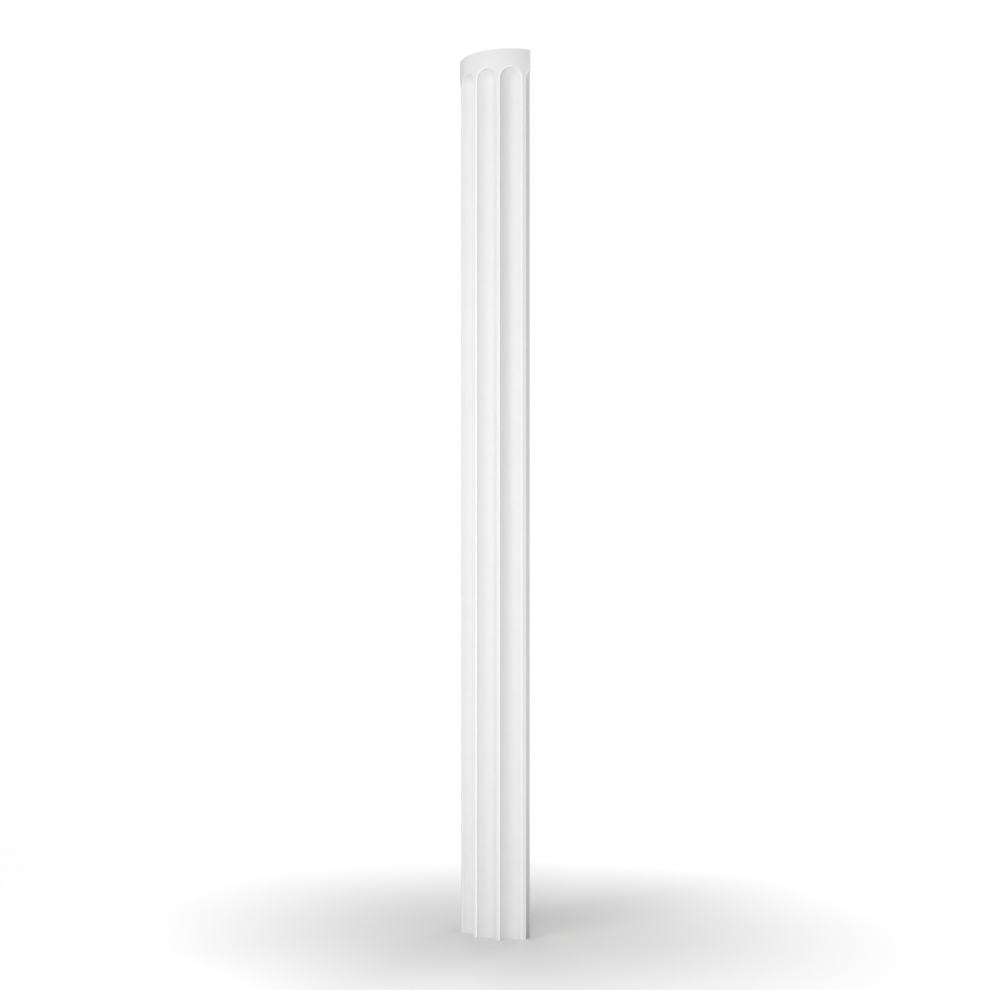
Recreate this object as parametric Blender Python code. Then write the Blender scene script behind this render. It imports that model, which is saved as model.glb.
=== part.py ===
"""Engaged half column: a fluted shaft, moulded in one piece, that stands with its flat back against a wall.

The shaft's axis is the Z axis and its underside lies at Z = 0. The front faces -Y and the wall is on the +Y
side. Each flute is worked out on a flat development of the shaft's surface, as a distance round the shaft, a
height and a depth, and is then rolled round the axis.
"""
import math

import bmesh
import bpy
from mathutils import Vector

# Driving dimensions, in metres
SHAFT_HEIGHT = 2.02
SHAFT_RADIUS = 0.1145
WALL_SETBACK = 0.044  # from the axis back to the wall plane
FLUTES_IN_CIRCLE = 12  # the pattern of a whole round shaft, before the wall cuts it
FILLET_WIDTH = 0.009  # plain strip between two flutes, measured round the shaft
FLUTE_DEPTH = 0.0217
NECK_BAND = 0.0414  # plain band from the crowns of the flutes up to the top
ARRIS_RADIUS = 0.0015  # rounding of the edges between flutes and fillets
RIM_EASING = 0.0018  # chamfer round the top edge

# Number of facets along each curve
FLUTE_STEPS = 8
ARRIS_STEPS = 3
HEAD_SIDE_STEPS = 5
HEAD_TOP_STEPS = 5

# Sizes that follow from them
HALF_PITCH = math.pi * SHAFT_RADIUS / FLUTES_IN_CIRCLE
HEAD_RADIUS = HALF_PITCH - FILLET_WIDTH / 2
SPRING_HEIGHT = SHAFT_HEIGHT - NECK_BAND - HEAD_RADIUS
HEAD_MARGIN = min(FILLET_WIDTH, NECK_BAND) / 2
SEAM_MERGE = 1e-6
SMOOTH_ANGLE = math.radians(28)


def remove_objects():
    for old in list(bpy.data.objects):
        bpy.data.objects.remove(old, do_unlink=True)


def half_section():
    """Half a flute and its rounded arris, as (distance round the shaft from the flute's middle, depth)."""
    arris_angle = HEAD_RADIUS / SHAFT_RADIUS
    half_chord = SHAFT_RADIUS * math.sin(arris_angle)
    rise = FLUTE_DEPTH - SHAFT_RADIUS * (1 - math.cos(arris_angle))
    flute_radius = (half_chord**2 + rise**2) / (2 * rise)
    flute_centre = SHAFT_RADIUS - FLUTE_DEPTH + flute_radius

    # The rounding touches the shaft's surface from inside and the flute's hollow from outside
    inner = SHAFT_RADIUS - ARRIS_RADIUS
    outer = flute_radius + ARRIS_RADIUS
    centre_y = (inner**2 - outer**2 + flute_centre**2) / (2 * flute_centre)
    centre_x = math.sqrt(inner**2 - centre_y**2)
    hollow_end = math.atan2(centre_x, flute_centre - centre_y)
    turn_start = math.pi / 2 + hollow_end
    turn_end = math.atan2(centre_y, centre_x)

    points = []
    for step in range(FLUTE_STEPS + 1):
        angle = hollow_end * step / FLUTE_STEPS
        points.append((flute_radius * math.sin(angle), flute_centre - flute_radius * math.cos(angle)))
    for step in range(1, ARRIS_STEPS + 1):
        angle = turn_start + (turn_end - turn_start) * step / ARRIS_STEPS
        points.append((centre_x + ARRIS_RADIUS * math.cos(angle), centre_y + ARRIS_RADIUS * math.sin(angle)))
    return [(SHAFT_RADIUS * math.atan2(x, y), SHAFT_RADIUS - math.hypot(x, y)) for x, y in points]


def rolled(around, height, depth):
    """The place on the shaft of a point of the flat development."""
    angle = around / SHAFT_RADIUS
    radius = SHAFT_RADIUS - depth
    return Vector((radius * math.sin(angle), -radius * math.cos(angle), height))


def head_rays():
    """Directions that fan over a quarter of a flute's head, each with its reach to the bay's square edge."""
    top = HEAD_RADIUS + HEAD_MARGIN
    corner = math.atan2(top, HALF_PITCH)
    rest = math.pi / 2 - corner
    angles = [corner * step / HEAD_SIDE_STEPS for step in range(HEAD_SIDE_STEPS + 1)]
    angles += [corner + rest * step / HEAD_TOP_STEPS for step in range(1, HEAD_TOP_STEPS + 1)]
    rays = []
    for number, angle in enumerate(angles):
        reach = HALF_PITCH / math.cos(angle) if number <= HEAD_SIDE_STEPS else top / math.sin(angle)
        rays.append((math.cos(angle), math.sin(angle), reach))
    return rays


def add_strip(mesh, lower, upper):
    """Faces between two rows of points; where the rows share a point, the face there is a triangle."""
    for (a, b), (c, d) in zip(zip(lower, lower[1:]), zip(upper, upper[1:])):
        corners = []
        for point in (a, b, d, c):
            if all((point - other).length > SEAM_MERGE for other in corners):
                corners.append(point)
        mesh.faces.new([mesh.verts.new(point) for point in corners])


def add_half_bay(mesh, centre, side):
    """Half a flute with half a fillet, from the underside up over the head and the neck band to the top."""
    section = half_section()

    def place(distance, height, depth):
        return rolled(centre + side * distance, height, depth)

    columns = section + [(HALF_PITCH, 0.0)]
    foot = [place(distance, 0.0, depth) for distance, depth in columns]
    spring = [place(distance, SPRING_HEIGHT, depth) for distance, depth in columns]
    add_strip(mesh, foot, spring)

    rays = head_rays()
    fans = []
    for across, up, reach in rays:
        line = [(distance, depth) for distance, depth in section] + [(reach, 0.0)]
        fans.append([place(run * across, SPRING_HEIGHT + run * up, depth) for run, depth in line])
    for lower, upper in zip(fans, fans[1:]):
        add_strip(mesh, lower, upper)

    band_low = [fan[-1] for fan in fans[HEAD_SIDE_STEPS:]]
    distances = [reach * across for across, up, reach in rays[HEAD_SIDE_STEPS:]]
    band_high = [place(distance, SHAFT_HEIGHT - RIM_EASING, 0.0) for distance in distances]
    rim = [place(distance, SHAFT_HEIGHT, RIM_EASING) for distance in distances]
    add_strip(mesh, band_low, band_high)
    add_strip(mesh, band_high, rim)


def cap_openings(mesh):
    edges = [edge for edge in mesh.edges if edge.is_boundary]
    bmesh.ops.holes_fill(mesh, edges=edges, sides=0)


def make_shaft():
    """The whole round shaft, cut off behind by the wall plane."""
    mesh = bmesh.new()
    for number in range(FLUTES_IN_CIRCLE):
        for side in (-1, 1):
            add_half_bay(mesh, 2 * HALF_PITCH * number, side)
    bmesh.ops.remove_doubles(mesh, verts=mesh.verts, dist=SEAM_MERGE)
    cap_openings(mesh)

    everything = mesh.verts[:] + mesh.edges[:] + mesh.faces[:]
    wall = Vector((0.0, WALL_SETBACK, 0.0))
    bmesh.ops.bisect_plane(
        mesh, geom=everything, dist=SEAM_MERGE, plane_co=wall, plane_no=Vector((0, 1, 0)), clear_outer=True
    )
    cap_openings(mesh)
    bmesh.ops.recalc_face_normals(mesh, faces=mesh.faces)

    data = bpy.data.meshes.new("column_shaft")
    mesh.to_mesh(data)
    mesh.free()
    data.shade_smooth()
    data.set_sharp_from_angle(angle=SMOOTH_ANGLE)
    shaft = bpy.data.objects.new("column_shaft", data)
    bpy.context.scene.collection.objects.link(shaft)
    return shaft


def white_primer():
    """Matt white primer, as the moulding leaves the works."""
    material = bpy.data.materials.new("white_primer")
    material.use_nodes = True
    shader = material.node_tree.nodes["Principled BSDF"]
    shader.inputs["Base Color"].default_value = (0.86, 0.86, 0.855, 1.0)
    shader.inputs["Roughness"].default_value = 0.55
    shader.inputs["Metallic"].default_value = 0.0
    return material


remove_objects()
column_shaft = make_shaft()
column_shaft.data.materials.append(white_primer())
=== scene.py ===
"""The looks of a moulded half column: a white fluted shaft with a flat back, standing in a pale studio."""
import math

import bpy
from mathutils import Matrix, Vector


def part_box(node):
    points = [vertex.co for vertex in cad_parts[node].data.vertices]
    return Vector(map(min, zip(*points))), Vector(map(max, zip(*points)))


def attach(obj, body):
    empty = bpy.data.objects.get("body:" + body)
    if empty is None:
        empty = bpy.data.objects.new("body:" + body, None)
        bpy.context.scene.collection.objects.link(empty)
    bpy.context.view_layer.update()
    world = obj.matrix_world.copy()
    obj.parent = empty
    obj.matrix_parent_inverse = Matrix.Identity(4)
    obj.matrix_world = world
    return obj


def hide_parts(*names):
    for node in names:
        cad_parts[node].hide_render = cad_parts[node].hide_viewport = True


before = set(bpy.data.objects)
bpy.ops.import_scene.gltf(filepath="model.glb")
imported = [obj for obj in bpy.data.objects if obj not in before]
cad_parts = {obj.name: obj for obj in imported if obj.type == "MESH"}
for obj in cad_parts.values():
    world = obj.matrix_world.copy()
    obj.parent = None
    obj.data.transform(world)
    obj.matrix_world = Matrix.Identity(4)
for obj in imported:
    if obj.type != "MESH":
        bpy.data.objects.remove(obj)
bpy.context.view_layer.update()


# The shaft
# A half column of rigid white foam, cast in one piece in a closed mould and sprayed with a matt white primer.
# Its flutes have round heads under a plain neck band, and the foot, the top and the back are cut off flat.
shaft_radius, wall_setback, shaft_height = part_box("column_shaft")[1]
flutes_in_circle = 12
fillet_width = 0.009
flute_depth = 0.0217
neck_band = 0.0414
arris_radius = 0.0015
rim_radius = 0.0018
smooth_angle = math.radians(35)
seam_merge = 1e-5
half_pitch = math.pi * shaft_radius / flutes_in_circle
head_radius = half_pitch - fillet_width / 2
spring_height = shaft_height - neck_band - head_radius


def open_bare_mesh(name):
    """A new mesh of one vertex at the origin, open in edit mode."""
    bpy.ops.object.select_all(action="DESELECT")
    bpy.ops.mesh.primitive_plane_add(size=0.01)
    piece = bpy.context.object
    piece.name = name
    piece.data.name = name
    bpy.ops.object.mode_set(mode="EDIT")
    bpy.ops.mesh.select_mode(type="VERT")
    bpy.ops.mesh.select_all(action="SELECT")
    bpy.ops.mesh.merge(type="CENTER")
    return piece


def select_vertices(piece, wanted):
    """Selects the vertices for whose place wanted() is true, and the edges and faces between them."""
    bpy.ops.mesh.select_mode(type="VERT")
    bpy.ops.mesh.select_all(action="DESELECT")
    bpy.ops.object.mode_set(mode="OBJECT")
    for vertex in piece.data.vertices:
        vertex.select = wanted(vertex.co)
    bpy.ops.object.mode_set(mode="EDIT")
    bpy.ops.mesh.select_mode(type="EDGE")


def extrude(x=0.0, y=0.0, z=0.0):
    bpy.ops.mesh.extrude_region_move(TRANSFORM_OT_translate={"value": (x, y, z)})


def apply_modifier(piece, kind, **settings):
    modifier = piece.modifiers.new(kind.title(), kind)
    for setting, value in settings.items():
        setattr(modifier, setting, value)
    bpy.ops.object.modifier_apply(modifier=modifier.name)


def model_half_flute():
    """Half a flute on the shaft's flat development: X runs round the shaft, Y into it and Z up it."""
    hollow_steps = 22
    arris_steps = 6
    head_steps = 22
    fillet_steps = 3
    row_count = 48
    hollow_radius = (head_radius**2 + flute_depth**2) / (2 * flute_depth)
    hollow_middle = flute_depth - hollow_radius
    arris_across = math.sqrt((hollow_radius + arris_radius) ** 2 - (arris_radius - hollow_middle) ** 2)
    hollow_turn = math.atan2(arris_across, arris_radius - hollow_middle)

    half_flute = open_bare_mesh("column_shaft_finish")
    bpy.ops.transform.translate(value=(0, flute_depth, 0))
    bpy.ops.mesh.spin(
        steps=hollow_steps, angle=hollow_turn, center=(0, hollow_middle, 0), axis=(0, 0, 1)
    )
    bpy.ops.mesh.spin(
        steps=arris_steps, angle=hollow_turn, center=(arris_across, arris_radius, 0), axis=(0, 0, -1)
    )
    for step in range(fillet_steps):
        extrude(x=(half_pitch - arris_across) / fillet_steps)

    bpy.ops.mesh.select_all(action="SELECT")
    for row in range(row_count):
        extrude(z=spring_height / row_count)
    bpy.ops.mesh.spin(
        steps=head_steps, angle=math.pi / 2, center=(0, 0, spring_height), axis=(0, 1, 0)
    )

    def on_head_rim(place):
        from_middle = math.hypot(place.x, place.z - spring_height)
        return place.z > spring_height - seam_merge and from_middle > half_pitch - seam_merge

    select_vertices(half_flute, on_head_rim)
    extrude()
    bpy.ops.transform.resize(value=(1, 1, 0), center_override=(0, 0, shaft_height))
    bpy.ops.object.mode_set(mode="OBJECT")
    return half_flute


def roll_round_axis(sheet):
    """Mirrors and repeats the half flute, rolls the sheet round the shaft's axis and closes its ends."""
    apply_modifier(sheet, "MIRROR", use_axis=(True, False, False), merge_threshold=seam_merge)
    apply_modifier(
        sheet,
        "ARRAY",
        count=flutes_in_circle,
        use_relative_offset=False,
        use_constant_offset=True,
        constant_offset_displace=(2 * half_pitch, 0, 0),
        use_merge_vertices=True,
        merge_threshold=seam_merge,
    )
    apply_modifier(sheet, "SIMPLE_DEFORM", deform_method="BEND", deform_axis="Z", angle=2 * math.pi)
    bpy.ops.object.mode_set(mode="EDIT")
    bpy.ops.mesh.select_all(action="SELECT")
    bpy.ops.transform.translate(value=(0, -shaft_radius, 0))
    bpy.ops.mesh.remove_doubles(threshold=seam_merge)
    bpy.ops.mesh.fill_holes(sides=0)
    bpy.ops.mesh.normals_make_consistent(inside=False)


def ease_rim_and_cut_back(shaft):
    """Rounds the top edge, then cuts the round shaft off at the wall and closes the back."""
    select_vertices(shaft, lambda place: place.z > shaft_height - seam_merge)
    bpy.ops.mesh.bevel(offset=rim_radius, segments=3, affect="EDGES")
    bpy.ops.mesh.select_all(action="SELECT")
    bpy.ops.mesh.bisect(
        plane_co=(0, wall_setback, 0), plane_no=(0, 1, 0), use_fill=True, clear_outer=True, threshold=1e-6
    )
    bpy.ops.mesh.select_all(action="SELECT")
    bpy.ops.mesh.normals_make_consistent(inside=False)
    bpy.ops.object.mode_set(mode="OBJECT")
    bpy.ops.object.shade_smooth_by_angle(angle=smooth_angle)


shaft = model_half_flute()
roll_round_axis(shaft)
ease_rim_and_cut_back(shaft)


class Wire:
    """A socket in a finish's node tree. Arithmetic on wires adds the Math nodes that work it out."""

    def __init__(self, finish, socket):
        self.finish = finish
        self.socket = socket

    def worked(self, operation, *terms):
        """The result of one Math node on these terms."""
        return self.finish.node("ShaderNodeMath", {"operation": operation}, dict(enumerate(terms)))

    def __add__(self, other):
        return self.worked("ADD", self, other)

    def __radd__(self, other):
        return self.worked("ADD", other, self)

    def __sub__(self, other):
        return self.worked("SUBTRACT", self, other)

    def __rsub__(self, other):
        return self.worked("SUBTRACT", other, self)

    def __mul__(self, other):
        return self.worked("MULTIPLY", self, other)

    def __rmul__(self, other):
        return self.worked("MULTIPLY", other, self)

    def __truediv__(self, other):
        return self.worked("DIVIDE", self, other)

    def __pow__(self, other):
        return self.worked("POWER", self, other)

    def __abs__(self):
        return self.worked("ABSOLUTE", self)

    def __gt__(self, other):
        return self.worked("GREATER_THAN", self, other)

    def __lt__(self, other):
        return self.worked("LESS_THAN", self, other)


class Finish:
    """A surface finish: a material whose nodes are laid one by one and end in its own Principled shader."""

    def __init__(self, name):
        self.material = bpy.data.materials.new(name)
        self.material.use_nodes = True
        self.tree = self.material.node_tree
        self.shader = self.tree.nodes["Principled BSDF"]

    def node(self, kind, settings, sockets, output=0):
        """Adds a node, gives it its settings, then its sockets' values or links, and returns one output."""
        made = self.tree.nodes.new(kind)
        for setting, value in settings.items():
            setattr(made, setting, value)
        self.fill(made, sockets)
        return Wire(self, made.outputs[output])

    def fill(self, made, sockets):
        for socket, value in sockets.items():
            if isinstance(value, Wire):
                self.tree.links.new(value.socket, made.inputs[socket])
            else:
                made.inputs[socket].default_value = value

    def noise(self, place, scale, detail):
        """Cloudy noise from 0 to 1, with scale in grains to the metre."""
        return self.node(
            "ShaderNodeTexNoise", {}, {"Vector": place, "Scale": scale, "Detail": detail, "Roughness": 0.55}
        )

    def band(self, value, low, high, blur):
        """1 where value is between low and high, 0 elsewhere, with a soft step of width blur at each side."""
        up = {"Value": value, "From Min": low - blur, "From Max": low}
        down = {"Value": value, "From Min": high, "From Max": high + blur, "To Min": 1.0, "To Max": 0.0}
        smooth = {"interpolation_type": "SMOOTHSTEP"}
        return self.node("ShaderNodeMapRange", smooth, up) * self.node("ShaderNodeMapRange", smooth, down)

    def blend(self, factor, first, second):
        settings = {"data_type": "RGBA"}
        return self.node("ShaderNodeMix", settings, {"Factor": factor, 6: first, 7: second}, 2)


def lay_primer():
    """Matt white primer over the moulded skin, and bare sawn foam where the back and the ends were cut."""
    primer = Finish("white_primer")
    place = primer.node("ShaderNodeTexCoord", {}, {}, "Object")
    x = primer.node("ShaderNodeSeparateXYZ", {}, {"Vector": place}, "X")
    y = primer.node("ShaderNodeSeparateXYZ", {}, {"Vector": place}, "Y")
    z = primer.node("ShaderNodeSeparateXYZ", {}, {"Vector": place}, "Z")
    beyond = 1.0  # farther than the shaft reaches from its axis

    # Places round the shaft from a flute's middle, minus towards the front, and outwards from its arris
    bearing = abs(x.worked("ARCTAN2", x, -1 * y))
    round_shaft = x.worked("WRAP", bearing * shaft_radius, half_pitch, -half_pitch)
    above_spring = z.worked("MAXIMUM", z - spring_height, 0)
    from_flute_middle = (round_shaft**2 + above_spring**2) ** 0.5
    off_arris = from_flute_middle - head_radius
    front_half = primer.band(round_shaft, -beyond, -0.2 * head_radius, 0.7 * head_radius)
    depth = 1 - (x * x + y * y) ** 0.5 / shaft_radius

    # Regions by their distance from the axis towards the wall, in metres
    shaft_front = primer.band(y, -beyond, -0.102, 0.01)
    toward_wall = primer.band(y, 0.03, beyond, 0.12)
    wall_flutes = primer.band(y, 0.0345, beyond, 0.0015)

    # The arrises carry a painted highlight, least on the front and round the heads, with a line of painted
    # shade inside them
    front_highlight_and_shade = front_half * (1 - 0.7 * shaft_front)
    rear_highlight = (1 - front_half) * (0.8 - 0.5 * shaft_front)
    front_arris_highlight = primer.band(off_arris, -0.0002, 0.0028, 0.0004) * front_highlight_and_shade
    rear_arris_highlight = primer.band(off_arris, -0.0010, 0.0001, 0.0003) * rear_highlight
    arris_highlight = x.worked("MAXIMUM", front_arris_highlight, rear_arris_highlight) * (1 - 0.4 * above_spring / head_radius)
    # A painted highlight along the top edge
    rim_highlight = primer.band(z, shaft_height - 0.002, shaft_height + beyond, 0.0005)
    # A line of painted shade just inside each arris, stronger towards the wall
    arris_painted_shade = primer.band(off_arris, -0.0012, -0.0005, 0.0002) * front_highlight_and_shade * (0.35 + 0.65 * toward_wall)

    # The half flutes at the wall carry painted shade, darkest at the foot, and a metre up almost none of it
    # is left
    foot_shade_strength = 0.42
    foot_shade_left_a_metre_up = 0.01
    foot_painted_shade = wall_flutes * foot_shade_strength * z.worked("POWER", foot_shade_left_a_metre_up, z)

    mottle = primer.noise(place, 38, 4)
    drift = primer.noise(place, 7, 2)
    spray = primer.noise(place, 900, 2)
    unevenness = primer.noise(place, 95, 1)
    whiteness = primer.blend(mottle, (0.81, 0.81, 0.81, 1), (0.85, 0.85, 0.848, 1))
    # Painted shade: the line inside the arrises is darkened
    whiteness = primer.blend(arris_painted_shade, whiteness, (0.62, 0.62, 0.615, 1))
    # Painted highlights: the arrises, and more weakly the top edge, are lightened towards white
    whiteness = primer.blend(x.worked("MAXIMUM", arris_highlight, 0.4 * rim_highlight), whiteness, (1.0, 1.0, 1.0, 1))
    # Painted shade: the half flutes at the wall are darkened towards the foot
    whiteness = primer.blend(foot_painted_shade, whiteness, (0.0, 0.0, 0.0, 1))
    roughness = 0.44 + 0.12 * drift - 0.14 * arris_highlight + 0.2 * depth

    # Bare foam on the cut faces, with small open cells and long saw marks
    cut_edge = 0.0002
    end_cut = x.worked("MAXIMUM", z < cut_edge, z > shaft_height - cut_edge)
    cut = x.worked("MAXIMUM", y > wall_setback - cut_edge, end_cut)
    cells_to_the_metre = 650
    cell_sockets = {"Vector": place, "Scale": cells_to_the_metre}
    cells = primer.node("ShaderNodeTexVoronoi", {"feature": "F1"}, cell_sockets, "Distance")
    saw_place = primer.node("ShaderNodeMapping", {}, {"Vector": place, "Scale": (14, 260, 260)})
    saw_marks = primer.noise(saw_place, 1, 2)
    foam = primer.blend(cells, (0.8, 0.785, 0.735, 1), (0.95, 0.945, 0.915, 1))
    foam = primer.blend(saw_marks * 0.5, foam, (0.97, 0.965, 0.945, 1))
    foam = primer.blend(mottle * 0.3, foam, (0.8, 0.785, 0.74, 1))

    skin_height = 0.00016 * unevenness + 0.000012 * spray
    foam_height = 0.0002 * saw_marks + 0.00025 * cells
    height = skin_height * (1 - cut) + foam_height * cut
    foam_roughness = 0.85
    primer.fill(
        primer.shader,
        {
            "Base Color": primer.blend(cut, whiteness, foam),
            "Specular IOR Level": 0.22,
            "Roughness": roughness * (1 - cut) + foam_roughness * cut,
            "Normal": primer.node("ShaderNodeBump", {}, {"Height": height, "Distance": 1.0, "Strength": 1.0}),
        },
    )
    return primer.material


shaft.data.materials.append(lay_primer())
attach(shaft, "root")
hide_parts("column_shaft")


# The studio
# A pale floor that fades into white, painted darker round the foot as a painted shadow, with soft lights all
# round the shaft. The two on the side away from the camera give no highlights. The camera stands beside the
# shaft, level, nearly in line with its back.
camera_place = (3.691, -0.145, 0.858)
camera_yaw = math.radians(-1.74)
focal_length = 57.52
sensor_width = 36
lift = 0.0673

bpy.ops.object.camera_add(location=camera_place, rotation=(math.pi / 2, 0, math.pi / 2 + camera_yaw))
camera = bpy.context.object
camera.data.lens = focal_length
camera.data.sensor_width = sensor_width
camera.data.shift_y = lift
bpy.context.scene.camera = camera


def add_softbox(name, bearing, rise, distance, width, height, watts, sheen=True):
    """A soft light aimed near the shaft's middle, at a bearing from the camera's side, plus to the wall."""
    target = Vector((0, 0, 1.05))
    turn = math.radians(bearing)
    climb = math.radians(rise)
    away = Vector((math.cos(climb) * math.cos(turn), math.cos(climb) * math.sin(turn), math.sin(climb)))
    bpy.ops.object.light_add(
        type="AREA", location=target + distance * away, rotation=away.to_track_quat("Z", "Y").to_euler()
    )
    softbox = bpy.context.object
    softbox.name = name
    softbox.data.shape = "RECTANGLE"
    softbox.data.size = width
    softbox.data.size_y = height
    softbox.data.energy = watts
    softbox.visible_camera = False
    softbox.visible_glossy = sheen


add_softbox("key_light", bearing=-8, rise=5, distance=2.8, width=0.4, height=1.6, watts=14.5)
add_softbox("front_fill", bearing=-50, rise=3, distance=2.0, width=1.0, height=1.0, watts=8.7)
add_softbox("high_light", bearing=-40, rise=45, distance=3.2, width=1.5, height=1.5, watts=14)
add_softbox("wall_side_fill", bearing=45, rise=5, distance=2.8, width=0.6, height=1.6, watts=3.8)
add_softbox("wall_side_strip", bearing=105, rise=5, distance=2.8, width=0.3, height=1.6, watts=4)
add_softbox("back_light", bearing=145, rise=10, distance=2.8, width=1.0, height=1.6, watts=18, sheen=False)
add_softbox("far_side_light", bearing=188, rise=5, distance=2.8, width=0.8, height=1.6, watts=14, sheen=False)

floor_radius = 6
painted_shadow_radius = 1.1
fade_start = 0.6
fade_end = 2.4
bpy.ops.mesh.primitive_circle_add(vertices=96, radius=floor_radius, fill_type="NGON")
floor = bpy.context.object
floor.name = "studio_floor"
paper = Finish("studio_paper")
floor_place = paper.node("ShaderNodeTexCoord", {}, {}, "Object")
from_middle = paper.node("ShaderNodeVectorMath", {"operation": "LENGTH"}, {0: floor_place}, "Value")
fade = paper.node(
    "ShaderNodeMapRange",
    {"interpolation_type": "SMOOTHSTEP"},
    {"Value": from_middle, "From Min": fade_start, "From Max": fade_end, "To Min": 1.0, "To Max": 0.0},
)
outside_painted_shadow = paper.node(
    "ShaderNodeMapRange",
    {"interpolation_type": "SMOOTHSTEP"},
    {"Value": from_middle, "From Min": 0.0, "From Max": painted_shadow_radius},
)
# Painted shadow: the floor's colour and its faint glow are darker round the foot and brighten away from it
paper.fill(
    paper.shader,
    {
        "Base Color": paper.blend(outside_painted_shadow, (0.7, 0.7, 0.7, 1), (0.95, 0.95, 0.95, 1)),
        "Emission Color": paper.blend(outside_painted_shadow, (0.02, 0.02, 0.02, 1), (0.25, 0.25, 0.25, 1)),
        "Emission Strength": 1.0,
        "Roughness": 0.9,
        "Alpha": fade,
    },
)
floor.data.materials.append(paper.material)

studio = bpy.data.worlds.new("studio")
bpy.context.scene.world = studio
studio.use_nodes = True
unseen_sky = 0.5
seen_sky = 1.0
sky = studio.node_tree.nodes["Background"]
sky.inputs["Color"].default_value = (1, 1, 1, 1)
light_path = studio.node_tree.nodes.new("ShaderNodeLightPath")
strength = studio.node_tree.nodes.new("ShaderNodeMapRange")
strength.inputs["To Min"].default_value = unseen_sky
strength.inputs["To Max"].default_value = seen_sky
studio.node_tree.links.new(light_path.outputs["Is Camera Ray"], strength.inputs["Value"])
studio.node_tree.links.new(strength.outputs["Result"], sky.inputs["Strength"])
bpy.context.scene.view_settings.view_transform = "Standard"
